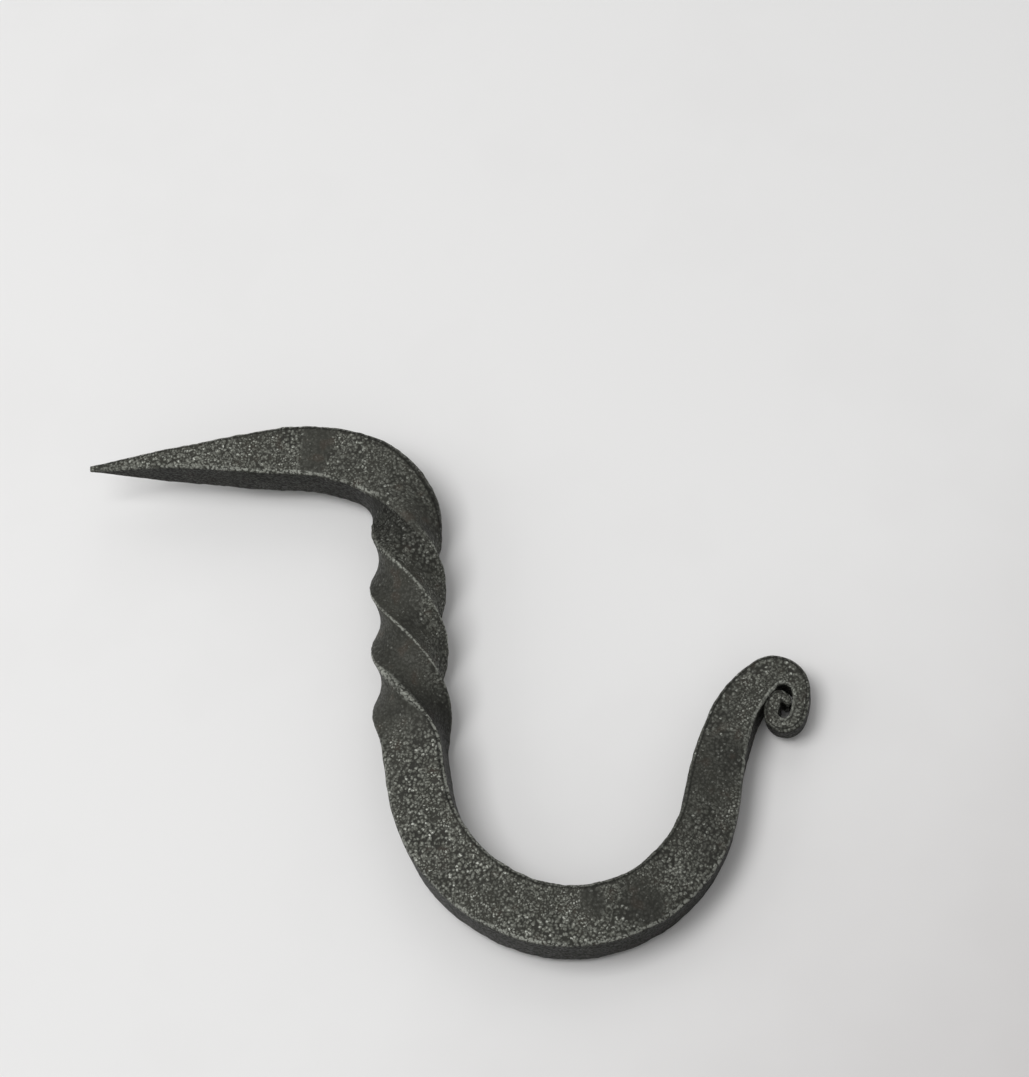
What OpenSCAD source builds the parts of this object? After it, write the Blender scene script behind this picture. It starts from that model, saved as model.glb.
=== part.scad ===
// A blacksmith's spike hook, forged in one piece from square bar. One end is drawn to a point and
// bent over, the shank is twisted once, the bowl is flattened, and the other end is drawn thin
// and curled tight into a scroll.
// It lies as it comes to rest, on the corners of its twist and the far side of its bowl:
// X runs along the spike towards the bowl, Y runs up the shank, and Z is up.

/* [Bar] */
// Side of the square bar, as it stays in the twist
bar = 12; // [10:0.5:14]
// Radius left on the four long edges
edge_r = 0.8; // [0.4:0.1:1.4]

/* [Spike] */
// Length from the point to the first bend
spike_len = 43.5; // [36:0.5:56]
// Width and thickness of the blunt point
point = 1.2; // [0.8:0.1:3]
// Width at the middle of the spike, in the plane of the hook
spike_mid_w = 5.5; // [4:0.1:9]
// Thickness at the middle of the spike
spike_mid_t = 9; // [4:0.1:11]
// Width at the root of the spike
spike_root_w = 11.1; // [9:0.1:14]
// Thickness at the root of the spike
spike_root_t = 10; // [7:0.1:12]

/* [Elbow] */
// Radius of the easy bend behind the spike
shoulder_r = 39.5; // [25:0.5:60]
// Angle of the easy bend
shoulder_turn = 24; // [10:0.5:40]
// Radius of the tight bend into the shank
corner_r = 15.5; // [12:0.5:24]
// Angle of the tight bend
corner_turn = 64.5; // [40:0.5:75]
// Width of the bar between the two bends
elbow_w = 12.3; // [10:0.1:15]
// Thickness of the bar between the two bends
elbow_t = 9.9; // [7:0.1:12]
// Radius of the edges where the tight bend has upset them
elbow_edge_r = 2.2; // [0.8:0.1:3]

/* [Twist] */
// Length of the straight shank
shank_len = 35.5; // [30:0.5:60]
// Quarter turns in the twist, left-handed
quarter_turns = 4; // [2:1:6]
// How far before the shank the twist begins
twist_lead = 14.5; // [5:0.5:20]
// How far past the shank the twist ends
twist_tail = 18; // [8:0.5:25]
// Length over which the twist starts turning
twist_start = 14; // [5:0.5:20]
// Length over which the twist stops turning
twist_stop = 8.5; // [5:0.5:20]

/* [Bowl] */
// Radius of the slow bend out of the twist
leg_r = 194; // [120:1:300]
// Angle of the slow bend
leg_turn = 7.9; // [6:0.1:16]
// Width of the leg, halfway along the slow bend
leg_w = 12.3; // [11:0.1:15]
// Thickness of the leg, halfway along the slow bend
leg_t = 12.3; // [9:0.1:14]
// Lean of the flat there
leg_lean = -2.5; // [-15:0.5:15]
// Radius of the first third of the bowl
bowl_in_r = 34; // [28:0.1:45]
// Angle of the first third of the bowl
bowl_in_turn = 60; // [40:0.5:65]
// Width of the bowl at its lowest, in the plane of the hook
bowl_w = 12.9; // [11:0.1:16]
// Thickness of the bowl at its lowest
bowl_t = 10.8; // [8:0.1:12]
// Lean of the flat at the lowest of the bowl
bowl_lean = -1.5; // [-15:0.5:15]
// Radius of the middle third of the bowl
bowl_mid_r = 27.7; // [26:0.1:40]
// Angle of the middle third of the bowl
bowl_mid_turn = 66; // [50:0.5:75]
// Radius of the last third of the bowl
bowl_out_r = 29.1; // [24:0.1:40]
// Angle of the last third of the bowl
bowl_out_turn = 35.5; // [30:0.5:50]
// Width of the bar where it leaves the bowl
rise_w = 11.5; // [9:0.1:14]
// Thickness of the bar where it leaves the bowl
rise_t = 8.8; // [6:0.1:10]
// Lean of the flat where it leaves the bowl
rise_lean = -7.5; // [-15:0.5:15]

/* [Scroll] */
// Radius of the slow outward bend below the scroll
rise_r = 78; // [50:1:120]
// Angle of the slow outward bend
rise_turn = 13; // [8:0.5:22]
// Width of the bar at the neck of the scroll
neck_w = 9.6; // [8:0.1:12]
// Thickness of the bar at the neck of the scroll
neck_t = 8.1; // [6:0.1:9]
// Lean of the flat at the neck
neck_lean = 1; // [-15:0.5:15]
// Radius of the bend that begins the scroll
neck_r = 24.5; // [14:0.5:30]
// Angle of the bend that begins the scroll
neck_turn = 28.5; // [18:0.5:34]
// Width of the bar as it goes over the crown
crown_w = 7.9; // [6:0.1:9.5]
// Thickness of the bar as it goes over the crown
crown_t = 6.1; // [4:0.1:8]
// Lean of the flat at the crown
crown_lean = 4.5; // [-15:0.5:15]
// Radius left inside the crown
crown_in_r = 0.55; // [0.4:0.05:2]
// Width of side and tip that the crown is rolled to hold at that radius
rolled_w = 6.7; // [5.5:0.1:8]
// Angle turned over the crown
crown_turn = 128.5; // [110:0.5:140]
// Width of the bar down the outside of the scroll
side_w = 3.8; // [3:0.1:5]
// Thickness of the bar down the outside of the scroll
side_t = 5.5; // [4:0.1:7]
// Lean of the flat down the outside of the scroll
side_lean = 0; // [-15:0.5:15]
// Radius of the outside of the scroll
side_r = 14; // [8:0.5:18]
// Angle turned down the outside of the scroll
side_turn = 24; // [16:0.5:40]
// Width of the bar as it comes up inside the scroll
tip_w = 2.8; // [2.5:0.1:3.5]
// Thickness of the bar as it comes up inside the scroll
tip_t = 4.7; // [4:0.1:7]
// Lean of the flat inside the scroll
tip_lean = 5; // [-15:0.5:15]
// Radius left inside the bottom of the scroll
tip_in_r = 0.75; // [0.6:0.05:1.2]
// Width of the last curl, past half the side, that the tip is rolled to hold at that radius
curled_w = 1.59; // [1:0.01:2.2]
// Angle turned round the bottom of the scroll
tip_turn = 184; // [170:1:195]
// Width of the bar at its end, drawn out and curled up last
curl_w = 0.9; // [0.8:0.1:1.2]
// Thickness of the bar at its end
curl_t = 3.6; // [2.5:0.1:4.5]
// Radius left inside the last curl
curl_in_r = 0.12; // [0.1:0.02:0.3]
// Angle turned by the last curl
curl_turn = 152; // [60:1:165]

/* [Smoothness] */
// Longest step between sections along the bar
section_step = 1.5; // [1:0.1:3]
// Largest turn between sections in the bends
section_turn = 7; // [4:1:12]
// Facets on each rounded edge
edge_facets = 2; // [1:1:4]
// Facets across each flat
flat_facets = 3; // [1:1:5]

/* [Hidden] */

// How much wider the tip and the crown are rolled for what is curled inside them
tip_opened = (2 * curl_in_r + tip_w + (curl_w - side_w) / 2 - curled_w) / 2;
crown_opened = (side_w + 2 * (tip_in_r + tip_opened) + tip_w / 2 - rolled_w) / 2;

// The centre line as stretches, each with its length and the angle it turns to the left
function bend(r, turn) = [r * abs(turn) * PI / 180, turn];
stretches = [
    [spike_len, 0],
    bend(shoulder_r, -shoulder_turn),
    bend(corner_r, -corner_turn),
    [shank_len, 0],
    bend(leg_r, leg_turn),
    bend(bowl_in_r, bowl_in_turn),
    bend(bowl_mid_r, bowl_mid_turn),
    bend(bowl_out_r, bowl_out_turn),
    bend(rise_r, -rise_turn),
    bend(neck_r, -neck_turn),
    bend(crown_in_r + crown_w / 2 + crown_opened, -crown_turn),
    bend(side_r, -side_turn),
    bend(tip_in_r + side_w / 2 + tip_opened, -tip_turn),
    bend(curl_in_r + tip_w / 2, -curl_turn)
];
last = len(stretches) - 1;

// Distance along the bar at which each stretch begins
function reach(i) = i == 0 ? 0 : reach(i - 1) + stretches[i - 1][0];
ends = [for (i = [0:last + 1]) reach(i)];

// Place and heading a distance d into a stretch that begins at a place and heading
function ahead(at, stretch, d) =
    let (turned = stretch[1] * d / stretch[0])
    let (half = turned / 2)
    let (chord = abs(turned) < 0.001 ? d : d * sin(half) / (half * PI / 180))
    [at[0] + chord * cos(at[2] + half), at[1] + chord * sin(at[2] + half), at[2] + turned];
function begin(i) =
    i == 0 ? [0, 0, 0] : ahead(begin(i - 1), stretches[i - 1], stretches[i - 1][0]);
begins = [for (i = [0:last]) begin(i)];

// Stations along the bar: distance, place and heading
function cuts(i) = ceil(max(stretches[i][0] / section_step, abs(stretches[i][1]) / section_turn));
function station(i, d) = concat([ends[i] + d], ahead(begins[i], stretches[i], d));
stations = concat(
    [for (i = [0:last]) for (k = [0:cuts(i) - 1]) station(i, stretches[i][0] * k / cuts(i))],
    [station(last, stretches[last][0])]
);

// Forged sections: distance along the bar, width, thickness, lean and edge radius
sections = [
    [0, point, point, 0, edge_r],
    [spike_len / 2, spike_mid_w, spike_mid_t, 0, edge_r],
    [spike_len, spike_root_w, spike_root_t, 0, edge_r],
    [ends[2], elbow_w, elbow_t, 0, edge_r],
    [ends[3], bar, bar, 0, elbow_edge_r],
    [ends[3] + bar, bar, bar, 0, edge_r],
    [ends[4], bar, bar, 0, edge_r],
    [(ends[4] + ends[5]) / 2, leg_w, leg_t, leg_lean, edge_r],
    [ends[6], bowl_w, bowl_t, bowl_lean, edge_r],
    [ends[8], rise_w, rise_t, rise_lean, edge_r],
    [ends[9], neck_w, neck_t, neck_lean, edge_r],
    [ends[10], crown_w, crown_t, crown_lean, edge_r],
    [ends[11], side_w, side_t, side_lean, edge_r],
    [ends[13], tip_w, tip_t, tip_lean, edge_r],
    [ends[14], curl_w, curl_t, tip_lean, edge_r]
];
final = len(sections) - 1;

// Slope between two neighbouring sections, and the smooth slope at one, flat at a swell or a waist
function rise(i, c) = (sections[i + 1][c] - sections[i][c]) / (sections[i + 1][0] - sections[i][0]);
function slope(i, c) =
    i == 0 ? rise(0, c) :
    i == final ? rise(final - 1, c) :
    rise(i - 1, c) * rise(i, c) <= 0 ? 0 :
    2 / (1 / rise(i - 1, c) + 1 / rise(i, c));

// Width (c = 1), thickness (c = 2), lean (c = 3) or edge radius (c = 4) at a distance s along the bar
function before(s) = max([for (i = [0:final - 1]) if (sections[i][0] <= s + 0.0001) i]);
function forged(s, c) =
    let (i = before(s))
    let (span = sections[i + 1][0] - sections[i][0])
    let (t = (s - sections[i][0]) / span)
    (2 * t^3 - 3 * t^2 + 1) * sections[i][c]
    + (t^3 - 2 * t^2 + t) * span * slope(i, c)
    + (3 * t^2 - 2 * t^3) * sections[i + 1][c]
    + (t^3 - t^2) * span * slope(i + 1, c);

// Twist at a distance s: it starts gently, runs at an even rate and stops gently
twist_from = ends[3] - twist_lead;
twist_span = shank_len + twist_lead + twist_tail;
twist_rate = 90 * quarter_turns / (twist_span - (twist_start + twist_stop) / 2);
function twisted(s) =
    let (u = min(max(s - twist_from, 0), twist_span))
    u < twist_start ? twist_rate * u^2 / (2 * twist_start) :
    u < twist_span - twist_stop ? twist_rate * (u - twist_start / 2) :
    90 * quarter_turns - twist_rate * (twist_span - u)^2 / (2 * twist_stop);

// Rounded rectangle, counterclockwise, with its flats and edges cut into facets
function corner(w, t, r, k) = [for (j = [0:edge_facets])
    let (a = 90 * k + 90 * j / edge_facets)
    [(k == 0 || k == 3 ? 1 : -1) * (w / 2 - r) + r * cos(a), (k < 2 ? 1 : -1) * (t / 2 - r) + r * sin(a)]];
function flat(a, b) = [for (j = [1:1:flat_facets - 1]) a + (b - a) * j / flat_facets];
function outline(w, t, edge) =
    let (r = min(edge, 0.42 * min(w, t)))
    let (c = [for (k = [0:3]) corner(w, t, r, k)])
    [for (k = [0:3]) for (p = concat(c[k], flat(c[k][edge_facets], c[(k + 1) % 4][0]))) p];

// Section points set across the bar: u to the right of travel, v up
function ring(st) =
    let (s = st[0])
    let (lean = twisted(s) + forged(s, 3))
    [for (p = outline(forged(s, 1), forged(s, 2), forged(s, 4)))
        let (u = p[0] * cos(lean) - p[1] * sin(lean))
        let (v = p[0] * sin(lean) + p[1] * cos(lean))
        [st[1] + u * sin(st[3]), st[2] - u * cos(st[3]), v]];

// It rests on a corner in each half of the twist, which are brought level, and then it leans over
// until the bowl or the scroll touches too
raw = [for (st = stations) ring(st)];
function part_of(from, to) = [for (i = [0:rings - 1]) if (stations[i][0] > from && stations[i][0] < to)
    for (p = raw[i]) p];
function lowest(pts) =
    let (z = min([for (p = pts) p[2]]))
    [for (p = pts) if (p[2] == z) p][0];
rings = len(stations);
twist_mid = twist_from + twist_span / 2;
foot_a = lowest(part_of(twist_from, twist_mid));
foot_b = lowest(part_of(twist_mid, twist_from + twist_span));
rest_roll = -atan((foot_a[2] - foot_b[2]) / (foot_a[1] - foot_b[1]));
function rolled(p) = [p[0], p[1] * cos(rest_roll) - p[2] * sin(rest_roll),
    p[1] * sin(rest_roll) + p[2] * cos(rest_roll)];
foot = rolled(foot_a);
rest_pitch = min([for (p = part_of(ends[5], ends[14] + 1))
    let (q = rolled(p) - foot)
    atan2(q[2], q[0])]);
function rested(p) =
    let (q = rolled(p))
    [q[0] * cos(rest_pitch) + q[2] * sin(rest_pitch), q[1], q[2] * cos(rest_pitch) - q[0] * sin(rest_pitch)];

// The lowest point on the floor and the middle of the hook over the origin
middles = [for (i = [0, rings - 1]) [stations[i][1], stations[i][2], 0]];
laid = [for (p = concat([for (r = raw) for (p = r) p], middles)) rested(p)];
function low(c) = min([for (p = laid) p[c]]);
function high(c) = max([for (p = laid) p[c]]);
shift = [(low(0) + high(0)) / 2, (low(1) + high(1)) / 2, low(2)];
points = [for (p = laid) p - shift];

// Skin: two triangles for each facet between neighbouring sections, and a flat fan at each end
round_points = 4 * (edge_facets + flat_facets);
skin = [
    for (i = [0:rings - 2]) for (j = [0:round_points - 1])
        let (a = i * round_points + j)
        let (b = i * round_points + (j + 1) % round_points)
        for (f = [[a, b, b + round_points], [a, b + round_points, a + round_points]]) f
];
far = (rings - 1) * round_points;
fans = [
    for (j = [0:round_points - 1])
        let (next = (j + 1) % round_points)
        for (f = [[rings * round_points, next, j], [rings * round_points + 1, far + j, far + next]]) f
];

module hook() {
    color([0.27, 0.27, 0.25])
        polyhedron(points = points, faces = concat(skin, fans), convexity = 8);
}

hook();
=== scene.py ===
"""A forged spike hook lying on a pale floor, seen from above at a slant.

The visible hook is the CAD hook's own skin, read ring by ring along the bar, made finer and
smoother, and then roughened: hammer marks, wavering edges, pits and a grainy scale.
Lengths are in mm until the mesh is made, and distances along the bar start at the spike's point.
"""

import math

import bpy
import numpy as np
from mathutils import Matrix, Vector, noise


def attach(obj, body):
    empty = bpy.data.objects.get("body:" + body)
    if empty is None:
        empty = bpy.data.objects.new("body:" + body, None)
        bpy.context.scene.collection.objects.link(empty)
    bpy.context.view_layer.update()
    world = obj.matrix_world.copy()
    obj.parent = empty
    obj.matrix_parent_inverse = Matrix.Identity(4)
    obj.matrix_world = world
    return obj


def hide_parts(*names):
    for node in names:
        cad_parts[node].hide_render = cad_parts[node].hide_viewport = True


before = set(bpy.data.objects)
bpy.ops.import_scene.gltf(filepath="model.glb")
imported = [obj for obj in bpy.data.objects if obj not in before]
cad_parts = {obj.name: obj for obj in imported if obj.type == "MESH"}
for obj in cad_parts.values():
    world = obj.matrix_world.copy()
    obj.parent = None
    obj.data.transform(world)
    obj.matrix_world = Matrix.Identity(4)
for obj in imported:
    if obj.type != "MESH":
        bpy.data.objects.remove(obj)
bpy.context.view_layer.update()
scene = bpy.context.scene

MM = 0.001
SAME_POINT_DECIMALS = 8       # of a metre: corners that agree to these are one point
HUB_NEIGHBOURS = 8            # only the middle point of each end has more neighbours than this
RING_STEP = 0.52              # the most between two rings
EDGE_CUTS = 3                 # faces round each rounded edge
FLAT_CUTS = (25, 24, 25, 24)  # faces across each flat

# The four flats, and the edge each begins with, named as they lie on the spike. The first edge
# faces up and near.
TOP, FAR_SIDE, UNDERSIDE, NEAR_SIDE = range(4)
UP_AND_NEAR = (0, -1.0, 1.0)

# The last curl is drawn larger and further up than the CAD's, to close the scroll's eye
CURL_FROM, CURL_TO = 277.5, 281.5
CURL_GROWTH = 0.35
CURL_MOVE = (0.25, 1.35, 0.0)


# ---------------------------------------------------------------- the bar's skin, ring by ring

def welded(mesh):
    """The mesh's points with doubles joined, and each point's neighbours."""
    co = np.empty(len(mesh.vertices) * 3, np.float32)
    mesh.vertices.foreach_get("co", co)
    rounded = np.round(co.reshape(-1, 3).astype(float), SAME_POINT_DECIMALS)
    points, index = np.unique(rounded, axis=0, return_inverse=True)
    index = index.ravel()
    near = [set() for _ in points]
    for poly in mesh.polygons:
        ids = [int(index[v]) for v in poly.vertices]
        for a, b in zip(ids, ids[1:] + ids[:1]):
            near[a].add(b)
            near[b].add(a)
    return points / MM, near


def ring_grid(mesh):
    """Rings of points from the spike's point to the curled end, as an array [ring, place, xyz],
    and how many faces go round each rounded edge."""
    points, near = welded(mesh)
    hubs = [i for i, n in enumerate(near) if len(n) > HUB_NEIGHBOURS]
    start = min(hubs, key=lambda i: points[i][0])
    stop = max(hubs, key=lambda i: points[i][0])
    first = set(near[start])
    ring = [min(first)]
    ring.append(min(near[ring[0]] & first))
    while len(ring) < len(first):
        ring.append(next(iter((near[ring[-1]] & first) - set(ring))))

    def ahead(ring, done):
        """The next ring: the third corner of the triangle ahead of each two neighbours."""
        pairs = zip(ring, ring[-1:] + ring[:-1])
        return [next(iter((near[a] & near[b]) - done)) for a, b in pairs]

    def gap(a, b):
        return np.linalg.norm(points[a] - points[b], axis=1).sum()

    # Of the two ways round, the one in which each point leads to the nearest one ahead
    turned = ring[::-1]
    done = set(ring) | {start}
    if gap(turned, ahead(turned, done)) < gap(ring, ahead(ring, done)):
        ring = turned
    rings = [ring]
    while stop not in near[ring[0]]:
        ring = ahead(ring, done)
        rings.append(ring)
        done = set(ring) | set(rings[-2])
    grid = points[np.array(rings)]
    # Every ring begins where a rounded edge begins on this one, part of the way round the bowl
    bowl_ring = grid[len(grid) * 3 // 5]
    face = np.linalg.norm(np.roll(bowl_ring, -1, axis=0) - bowl_ring, axis=1)
    short = face < face.mean() * 0.5
    first_short = [j for j in range(len(face)) if short[j] and not short[j - 1]][0]
    arcs = int(short.sum()) // 4
    return np.roll(grid, -first_short, axis=1), arcs


def near_edge_first(rings, arcs):
    """The rings turned to begin with the edge that faces up and near on the spike."""
    quarter = rings.shape[1] // 4
    spike_ring = rings[len(rings) // 12]
    facing = [(spike_ring[k * quarter:k * quarter + arcs + 1] @ np.array(UP_AND_NEAR)).mean()
              for k in range(4)]
    return np.roll(rings, -quarter * int(np.argmax(facing)), axis=1)


def finer_along(grid, step):
    """Smooth curves through the rings, with new rings no more than a step apart. Returns the grid
    and each new ring's distance along the bar."""
    centre = grid.mean(axis=1)
    s = np.concatenate([[0], np.cumsum(np.linalg.norm(np.diff(centre, axis=0), axis=1))])
    h = np.diff(s)
    d = np.diff(grid, axis=0) / h[:, None, None]
    m = np.empty_like(grid)
    m[0], m[-1] = d[0], d[-1]
    w = (h[1:] / (h[1:] + h[:-1]))[:, None, None]
    m[1:-1] = d[:-1] * w + d[1:] * (1 - w)
    widest = np.linalg.norm(np.diff(grid, axis=0), axis=2).max(axis=1)
    out, at = [], []
    for i in range(len(h)):
        n = max(1, math.ceil(widest[i] / step))
        for k in range(n):
            t = k / n
            out.append((2 * t**3 - 3 * t**2 + 1) * grid[i] + (t**3 - 2 * t**2 + t) * h[i] * m[i]
                       + (3 * t**2 - 2 * t**3) * grid[i + 1] + (t**3 - t**2) * h[i] * m[i + 1])
            at.append(s[i] + t * h[i])
    out.append(grid[-1])
    at.append(s[-1])
    return np.array(out), np.array(at)


def finer_round(grid, arcs):
    """True quarter arcs on the four edges and evenly cut flats."""
    per_side = grid.shape[1] // 4
    cols = []
    for k in range(4):
        a, mid, b = (grid[:, k * per_side + j] for j in (0, arcs // 2, arcs))
        c = (a + b - math.sqrt(2) * mid) / (2 - math.sqrt(2))
        for j in range(EDGE_CUTS):
            t = math.pi / 2 * j / EDGE_CUTS
            cols.append(c + (a - c) * math.cos(t) + (b - c) * math.sin(t))
        far = grid[:, (k + 1) * per_side % grid.shape[1]]
        for j in range(FLAT_CUTS[k]):
            cols.append(b + (far - b) * j / FLAT_CUTS[k])
    return np.stack(cols, axis=1)


def edge_distance(grid):
    """For each point, its distance along the skin from the middle of the nearest edge, and which
    edge that is."""
    step = np.linalg.norm(np.roll(grid, -1, axis=1) - grid, axis=2)
    way = np.concatenate([np.zeros((len(grid), 1)), np.cumsum(step, axis=1)], axis=1)
    total = way[:, -1:]
    best = np.full(grid.shape[:2], np.inf)
    which = np.zeros(grid.shape[:2], int)
    begin = 0
    for k in range(4):
        mid = begin + EDGE_CUTS / 2
        lo, hi = int(math.floor(mid)), int(math.ceil(mid))
        place = (way[:, lo] + way[:, hi]) / 2
        gap = np.abs(way[:, :-1] - place[:, None])
        gap = np.minimum(gap, total - gap)
        which[gap < best] = k
        best = np.minimum(best, gap)
        begin += EDGE_CUTS + FLAT_CUTS[k]
    return best, which


def normals_of(grid):
    """Outward normals of the grid's points."""
    forward = np.gradient(grid, axis=0)
    around = np.roll(grid, -1, axis=1) - np.roll(grid, 1, axis=1)
    n = np.cross(around, forward)
    n /= np.linalg.norm(n, axis=2, keepdims=True) + 1e-12
    out = grid - grid.mean(axis=1, keepdims=True)
    return n if (n * out).sum() > 0 else -n


def smooth(low, high, x):
    """0 at low, 1 at high and an eased slope between."""
    t = np.clip((x - low) / (high - low), 0, 1)
    return t * t * (3 - 2 * t)


rings, arcs = ring_grid(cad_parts["hook"].data)
grid, at = finer_along(near_edge_first(rings, arcs), RING_STEP)
grid = finer_round(grid, arcs)
edge, which = edge_distance(grid)
end = smooth(CURL_FROM, CURL_TO, at)[:, None, None]
centre = grid.mean(axis=1, keepdims=True)
grid = centre + (grid - centre) * (1 + CURL_GROWTH * end) + end * np.array(CURL_MOVE)
normal = normals_of(grid)

# For each point: how far its ring reaches from the middle, its distance along the bar, the flat
# it is on, and its place across that flat from 0 to 1
radius = np.linalg.norm(grid - grid.mean(axis=1, keepdims=True), axis=2).max(axis=1)[:, None]
s = np.broadcast_to(at[:, None], edge.shape)
flat = np.concatenate([[k] * (EDGE_CUTS + FLAT_CUTS[k]) for k in range(4)])
flat = np.broadcast_to(flat[None, :], edge.shape)
across = np.concatenate([(np.arange(EDGE_CUTS + n) - EDGE_CUTS / 2) / (EDGE_CUTS + n)
                         for n in FLAT_CUTS])
across = np.broadcast_to(across[None, :], edge.shape)


def skin_noise(wave, seed):
    """Smooth noise at each point of the skin, waves of about that length, roughly -1 to 1."""
    shift = Vector((seed * 17.3, seed * 5.9, seed * 11.1))
    points = grid.reshape(-1, 3) / wave
    out = np.fromiter((noise.noise(Vector(p) + shift) for p in points), float, len(points))
    return out.reshape(grid.shape[:-1])


def along(*stops):
    """A value along the bar from (distance, value) stops."""
    return np.interp(s, [d for d, v in stops], [v for d, v in stops])


def spot(place, reach, middle=0.5, share=9.0, wobble=0.3):
    """1 within a soft-edged patch of the top flat: its distance along the bar and its reach, and
    its middle and reach across as shares of the flat's width."""
    far = np.hypot((s - place) / reach, (across - middle) / share)
    return smooth(1.25, 0.7, far + skin_noise(3.0, int(place)) * wobble) * (flat == TOP)


# ---------------------------------------------------------------- how rough, dark and worn it is

# The twist's faces, where the bar was gripped hot and turned, are smoother than the rest
twist = smooth(78, 92, s) * (1 - smooth(114, 126, s))
rough = along((0, 1), (46, 1), (56, 0.8), (66, 0.6), (76, 0.45), (90, 0.15), (122, 0.15),
              (132, 0.8), (140, 1), (186, 1), (200, 0.7), (214, 0.7), (226, 0.5), (240, 0.55),
              (248, 0.8), (258, 0.85), (266, 1), (278, 0.8))
right_hand = (grid[:, :, 0] - grid[:, :, 0].mean(axis=1, keepdims=True)) / radius
rough = rough + 0.55 * twist * smooth(0.15, 0.75, right_hand)

# The sides of the spike, leg, bowl and scroll are smoother than the broad faces and darkened by
# painted shade, except where the near side turns up below the elbow
side = ((flat == FAR_SIDE) | (flat == NEAR_SIDE)) & (edge > 0.6)
side = np.where(side, 1 - twist, 0.0)
rough = rough * (1 - 0.65 * side)
below_elbow = (flat == NEAR_SIDE) * smooth(70, 76, s) * (1 - smooth(86, 94, s))
rough = np.maximum(rough, 0.8 * below_elbow)

# Bare patches where scale came away. Those beyond the twist are darker too.
bare = np.maximum.reduce([
    spot(49.5, 3.3),
    spot(189.0, 3.0, 0.70, 0.30, 0.15),
    0.9 * spot(199, 3.6, 0.42, 0.40),
    0.6 * spot(232, 8.0, 0.5, 0.5),
    0.7 * spot(78.6, 4.0, 0.34, 0.4),
])
rough = rough * (1 - 0.8 * bare)
rough = np.clip(rough * (0.9 + 0.35 * skin_noise(8.0, 3)), 0, 1)
# Painted shade darkens the side faces, the bare patches beyond the twist are darker in their own
# colour, and the bar is lighter or darker along its length
tone_and_shade = (1 - 0.62 * side) * (1 - 0.16 * bare * smooth(90, 110, s))
tone_and_shade = tone_and_shade * along((0, 1.05), (50, 1.02), (62, 0.90), (72, 0.93), (80, 1.0), (92, 0.95),
                    (130, 1.0), (186, 1.04), (198, 0.82), (214, 0.80), (240, 0.86),
                    (255, 0.93), (262, 0.88), (284, 0.82))

# Edges worn bright, and painted highlights where the edges face the light: the near top edge from
# spike to scroll, the far top edge mostly where the twist ends, and the two lower edges where the
# twist brings them up
near_top = along((0, 0.1), (20, 0.35), (30, 0.9), (60, 0.9), (66, 1.3), (84, 1.2), (90, 0.25),
                 (120, 0.1), (132, 0.3), (158, 0.5), (168, 0.9), (204, 0.9), (214, 0.7),
                 (240, 0.7), (248, 1.0), (265, 1.0), (276, 0.5), (284, 0.3))
far_top = along((0, 0.05), (98, 0.3), (106, 0.85), (112, 0.75), (118, 0.7), (126, 0.7),
                (150, 0.5), (178, 0.35), (205, 0.1), (284, 0.1))
lower = along((0, 0.05), (76, 0.05), (86, 0.8), (112, 0.8), (122, 0.1), (284, 0.05))
patchy = np.clip(0.9 + 0.7 * skin_noise(4.5, 8), 0.3, 1.2)
wear_and_highlight = np.choose(which, [near_top, far_top, lower, lower]) * patchy

# Half the width of the bright lines, broader where the far top edge leaves the twist
LINE = 0.5
width = np.where(which == FAR_SIDE, along((0, LINE), (111, LINE), (115, 1.7), (121, 1.7),
                                          (125, 0.6), (284, LINE)), LINE)
# How unbroken the bright lines are
steady = 0.04 + 0.10 * twist + along((0, 0), (205, 0), (225, 0.35), (276, 0.35), (284, 0))

# Broad hammer facets, wavering edges and pits, shallower where the bar is thin
amount = np.clip(radius / 7.0, 0.25, 1.0)
hammer = skin_noise(7.5, 1) * 0.16 + skin_noise(3.4, 2) * 0.07
by_edge = np.exp(-edge ** 2)
waver = by_edge * (skin_noise(3.1, 4) * 0.16 + skin_noise(1.2, 5) * 0.13 - 0.05)
pits = skin_noise(0.95, 6) * 0.06 * rough
move = amount * (hammer * (1 - 0.4 * twist) + waver) + np.clip(radius / 5, 0.3, 1) * pits
PROUDEST = 0.12
grid = grid + normal * np.minimum(move, PROUDEST)[:, :, None]
# Nothing goes below the floor
grid[:, :, 2] = np.maximum(grid[:, :, 2], 0.0)

# ---------------------------------------------------------------- the mesh

count, places = edge.shape
first_hub, last_hub = count * places, count * places + 1
hubs = [grid[0].mean(axis=0)], [grid[-1].mean(axis=0)]
verts = np.concatenate([grid.reshape(-1, 3), *hubs]) * MM
i, j = np.meshgrid(np.arange(count - 1), np.arange(places), indexing="ij")
next_j = (j + 1) % places
quads = np.stack([i * places + j, i * places + next_j,
                  (i + 1) * places + next_j, (i + 1) * places + j], axis=-1)
faces = quads.reshape(-1, 4).tolist()
last_ring = (count - 1) * places
faces += [[first_hub, (k + 1) % places, k] for k in range(places)]
faces += [[last_hub, last_ring + k, last_ring + (k + 1) % places] for k in range(places)]
mesh = bpy.data.meshes.new("hook_forged")
mesh.from_pydata(verts.tolist(), [], faces)
mesh.validate()
mesh.update()
if sum(f.area * f.normal.dot(f.center) for f in mesh.polygons) < 0:
    mesh.flip_normals()
mesh.polygons.foreach_set("use_smooth", [True] * len(mesh.polygons))


def attribute(name, values):
    """A value at each point of the mesh, for the material to read."""
    layer = mesh.attributes.new(name, "FLOAT", "POINT")
    at_hubs = [values[0].mean(), values[-1].mean()]
    layer.data.foreach_set("value", np.concatenate([values.ravel(), at_hubs]))


attribute("edge_part", edge / width)
attribute("wear_and_highlight", wear_and_highlight)
attribute("steady", steady)
attribute("rough", rough)
attribute("tone_and_shade", tone_and_shade)
hook = bpy.data.objects.new("hook_forged", mesh)
scene.collection.objects.link(hook)


# ---------------------------------------------------------------- materials

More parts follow.
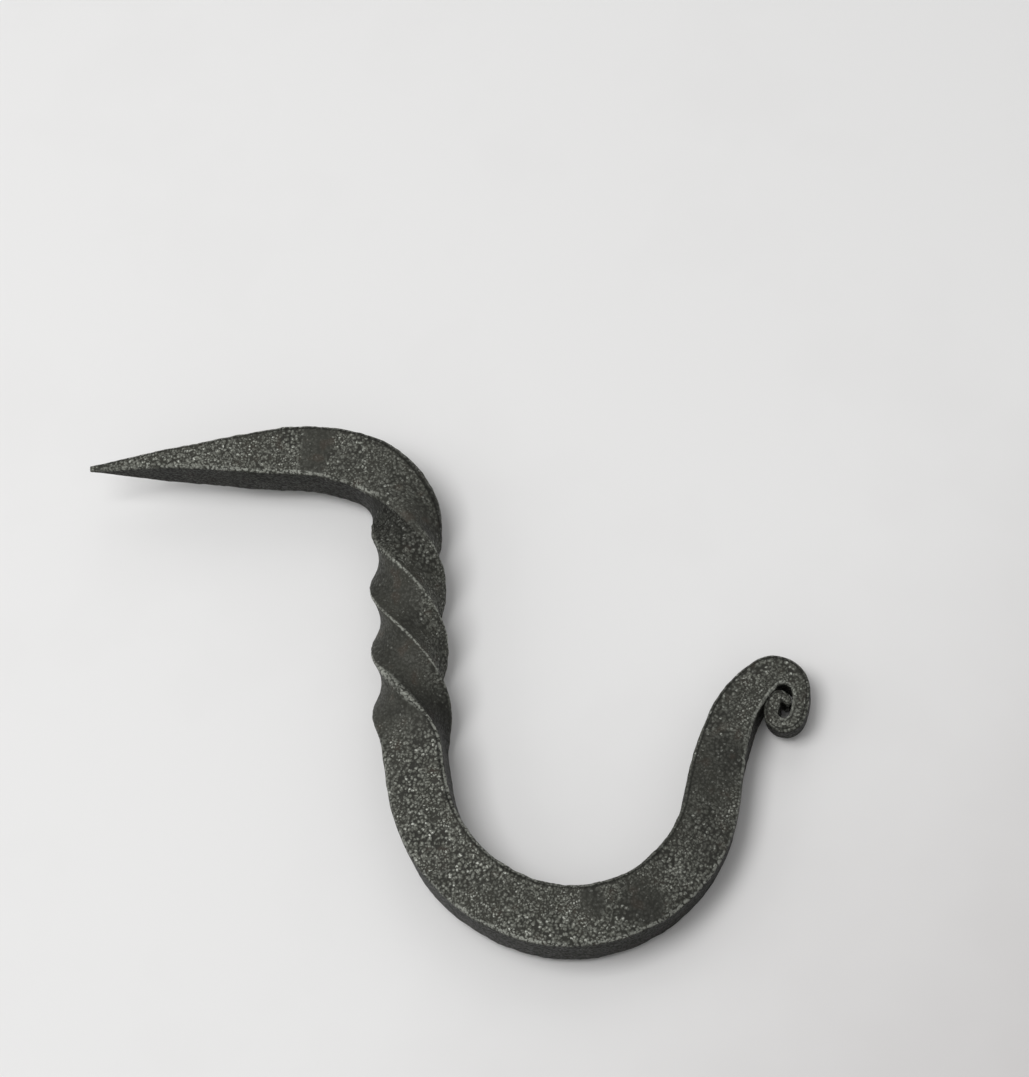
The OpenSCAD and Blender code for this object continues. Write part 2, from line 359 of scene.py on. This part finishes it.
class Nodes:
    """Short names for making a node material."""

    def __init__(self, name):
        self.mat = bpy.data.materials.new(name)
        self.mat.use_nodes = True
        self.tree = self.mat.node_tree
        self.bsdf = self.tree.nodes["Principled BSDF"]

    def add(self, kind, links=(), **settings):
        node = self.tree.nodes.new(kind)
        for key, value in settings.items():
            setattr(node, key, value)
        for socket, value in dict(links).items():
            self.put(node.inputs[socket], value)
        return node

    def put(self, socket, value):
        if isinstance(value, bpy.types.NodeSocket):
            self.tree.links.new(value, socket)
        else:
            socket.default_value = value

    def math(self, op, a, b):
        return self.add("ShaderNodeMath", {0: a, 1: b}, operation=op).outputs[0]

    def times(self, a, b):
        return self.math("MULTIPLY", a, b)

    def plus(self, a, b):
        return self.math("ADD", a, b)

    def between(self, share, a, b):
        """Numbers mixed: a where the share is 0, b where it is 1."""
        return self.plus(self.times(a, self.math("SUBTRACT", 1.0, share)), self.times(b, share))

    def vector(self, op, a, b):
        return self.add("ShaderNodeVectorMath", {0: a, 1: b}, operation=op).outputs[0]

    def first(self, colour):
        """The first channel of a colour."""
        return self.add("ShaderNodeSeparateColor", {0: colour}).outputs[0]

    def ramp(self, value, low, high, to_low=0.0, to_high=1.0):
        return self.add("ShaderNodeMapRange", {0: value, 1: low, 2: high, 3: to_low, 4: to_high},
                        interpolation_type="SMOOTHSTEP").outputs[0]

    def mix(self, share, a, b):
        """Colours mixed: a where the share is 0, b where it is 1."""
        node = self.add("ShaderNodeMix", data_type="RGBA")
        self.put(node.inputs[0], share)
        self.put(node.inputs[6], a)
        self.put(node.inputs[7], b)
        return node.outputs[2]

    def noise(self, place, scale, detail, roughness):
        return self.add("ShaderNodeTexNoise", {"Vector": place, "Scale": scale, "Detail": detail,
                                               "Roughness": roughness}).outputs[0]

    def attr(self, name):
        return self.add("ShaderNodeAttribute", attribute_name=name).outputs["Fac"]


def srgb(r, g, b):
    """A colour for a socket from its 0 to 255 values on the screen."""
    def lin(v):
        v /= 255
        return v / 12.92 if v <= 0.04045 else ((v + 0.055) / 1.055) ** 2.4
    return (lin(r), lin(g), lin(b), 1.0)


BLACK = (0.0, 0.0, 0.0, 1.0)
SCALE_DARK, SCALE_LESS_DARK = srgb(50, 50, 46), srgb(59, 59, 54)
SCALE_BROWN = srgb(66, 57, 50)
# Bead colours, the paler ones partly the scale's own colour and partly painted glints
BEAD_DULL, BEAD_PALE = srgb(85, 86, 79), srgb(166, 168, 159)
BEAD_RUBBED_GLINT = srgb(196, 198, 191)
# Worn edge metal, brightened as a painted highlight
EDGE_WEAR_AND_HIGHLIGHT = srgb(158, 160, 152)
# Beads to a metre in their two sizes, and in metres how far they are pushed out of round and how
# high they stand
BEADS_COARSE, BEADS_SMALL = 1450.0, 2000.0
BEAD_PUSH = 0.0006
BEAD_HEIGHT = 0.00025


def forged_steel():
    """Dark forging scale: small beads, bare patches, rubbed specks and worn edges, with painted
    glints, highlights and shade.
    """
    n = Nodes("forged_steel_scale")
    place = n.add("ShaderNodeTexCoord").outputs["Object"]
    rough = n.attr("rough")
    cloud = n.noise(place, 150.0, 2.0, 0.5)
    tint = n.noise(place, 300.0, 1.0, 0.5)
    fine = n.noise(place, 3000.0, 1.5, 0.6)

    # Small rounded beads of scale of two sizes, a little drawn out of round
    push = n.add("ShaderNodeTexNoise", {"Vector": place, "Scale": 1100.0, "Detail": 1.0})
    push = n.vector("SUBTRACT", push.outputs["Color"], (0.5, 0.5, 0.5))
    moved = n.vector("ADD", place, n.vector("MULTIPLY", push, (BEAD_PUSH,) * 3))
    coarse = n.add("ShaderNodeTexVoronoi", {"Vector": moved, "Scale": BEADS_COARSE}).outputs
    small = n.add("ShaderNodeTexVoronoi", {"Vector": moved, "Scale": BEADS_SMALL}).outputs
    share = n.ramp(cloud, 0.42, 0.58)
    far = n.between(share, coarse["Distance"], small["Distance"])
    each = n.between(share, n.first(coarse["Color"]), n.first(small["Color"]))
    bead = n.ramp(n.plus(far, n.times(fine, 0.5)), 0.55, 1.0, 1.0, 0.0)

    dark = n.mix(n.ramp(cloud, 0.35, 0.65), SCALE_DARK, SCALE_LESS_DARK)
    dark = n.mix(n.ramp(tint, 0.60, 0.75, 0.0, 0.4), dark, SCALE_BROWN)
    # The paler beads are partly the scale's own colour and partly painted glints where bumps
    # catch the light
    light = n.mix(n.times(each, n.ramp(fine, 0.35, 0.60)), BEAD_DULL, BEAD_PALE)
    broad = n.ramp(n.noise(place, 95.0, 2.0, 0.6), 0.32, 0.68, 0.80, 1.20)
    shown = n.times(n.times(bead, n.ramp(rough, 0.0, 1.0, 0.08, 1.0)), broad)
    colour = n.mix(shown, dark, light)

    # The highest beads are rubbed bare and bright, and painted as glints
    rubbed_glint = n.times(n.ramp(each, 0.80, 0.92), n.ramp(fine, 0.48, 0.56))
    rubbed_glint = n.times(rubbed_glint, n.ramp(bead, 0.55, 0.95))
    colour = n.mix(n.times(rubbed_glint, n.times(rough, 0.85)), colour, BEAD_RUBBED_GLINT)

    # Broken bright line along the edges: wear and a painted highlight
    line = n.ramp(n.attr("edge_part"), 0.35, 1.15, 1.0, 0.0)
    broken = n.ramp(n.plus(n.times(bead, 0.35), fine), 0.50, 0.74)
    broken = n.math("MAXIMUM", broken, n.attr("steady"))
    bright = n.times(n.times(line, broken), n.times(n.attr("wear_and_highlight"), 0.95))
    colour = n.mix(bright, colour, EDGE_WEAR_AND_HIGHLIGHT)

    # The colour darkened by the painted shade on the sides and the tone along the bar
    colour = n.mix(n.attr("tone_and_shade"), BLACK, colour)
    n.put(n.bsdf.inputs["Base Color"], colour)
    n.bsdf.inputs["Metallic"].default_value = 0.15
    n.bsdf.inputs["Specular IOR Level"].default_value = 0.1
    n.put(n.bsdf.inputs["Roughness"], n.ramp(bead, 0.0, 1.0, 0.62, 0.45))
    height = n.plus(bead, n.times(fine, 0.4))
    strength = n.ramp(rough, 0.0, 1.0, 0.15, 1.0)
    bump = n.add("ShaderNodeBump",
                 {"Height": height, "Distance": BEAD_HEIGHT, "Strength": strength}).outputs[0]
    n.put(n.bsdf.inputs["Normal"], bump)
    return n.mat


def pale_floor():
    """Pale paper, a little mottled, with painted shade darker towards the near right corner."""
    n = Nodes("pale_floor")
    place = n.add("ShaderNodeTexCoord").outputs["Object"]
    x_y = n.add("ShaderNodeSeparateXYZ", {0: place}).outputs
    # Painted shade: the floor darker towards the near right corner, where less lamp light falls
    corner_shade = n.ramp(n.math("SUBTRACT", x_y[0], x_y[1]), 0.02, 0.26)
    mottle = n.ramp(n.noise(place, 22.0, 3.0, 0.6), 0.3, 0.7, -0.06, 0.06)
    colour = n.mix(n.plus(corner_shade, mottle), (0.775, 0.772, 0.768, 1.0), (0.615, 0.602, 0.598, 1.0))
    n.put(n.bsdf.inputs["Base Color"], colour)
    n.bsdf.inputs["Roughness"].default_value = 0.9
    n.bsdf.inputs["Specular IOR Level"].default_value = 0.1
    return n.mat


mesh.materials.append(forged_steel())
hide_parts("hook")
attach(hook, "root")

# ---------------------------------------------------------------- floor, light and camera

FLOOR_REACH = 3.0  # metres each way from the hook
corners = [(x * FLOOR_REACH, y * FLOOR_REACH, 0) for x, y in ((-1, -1), (1, -1), (1, 1), (-1, 1))]
floor_mesh = bpy.data.meshes.new("floor")
floor_mesh.from_pydata(corners, [], [(0, 1, 2, 3)])
floor = bpy.data.objects.new("floor", floor_mesh)
scene.collection.objects.link(floor)
floor_mesh.materials.append(pale_floor())

world = bpy.data.worlds.new("studio")
world.use_nodes = True
background = world.node_tree.nodes["Background"].inputs
background["Color"].default_value = (1.0, 1.0, 1.0, 1.0)
background["Strength"].default_value = 0.45
scene.world = world

LAMP_SIZE = 0.5  # metres


def lamp(name, place, watts):
    """A square lamp that faces the hook."""
    data = bpy.data.lights.new(name, "AREA")
    data.size = LAMP_SIZE
    data.energy = watts
    obj = bpy.data.objects.new(name, data)
    obj.location = place
    obj.rotation_mode = "QUATERNION"
    obj.rotation_quaternion = (-Vector(place)).to_track_quat("-Z", "Y")
    scene.collection.objects.link(obj)


lamp("window", (-0.90, 0.10, 0.50), 1.3)
lamp("ceiling", (-0.26, -0.02, 0.87), 4.5)
lamp("far_window", (0.10, 0.75, 0.70), 0.7)

CAMERA_PLACE = (0.11185, -0.29073, 0.68887)  # metres
CAMERA_TURN = (25.090, 8.276, -0.494)  # degrees
SENSOR_WIDTH, LENS = 36.0, 120.4  # mm
camera_data = bpy.data.cameras.new("camera")
camera_data.sensor_width = SENSOR_WIDTH
camera_data.lens = LENS
camera = bpy.data.objects.new("camera", camera_data)
camera.location = CAMERA_PLACE
camera.rotation_euler = tuple(math.radians(a) for a in CAMERA_TURN)
scene.collection.objects.link(camera)
scene.camera = camera
scene.view_settings.view_transform = "Standard"

bpy.context.view_layer.update()
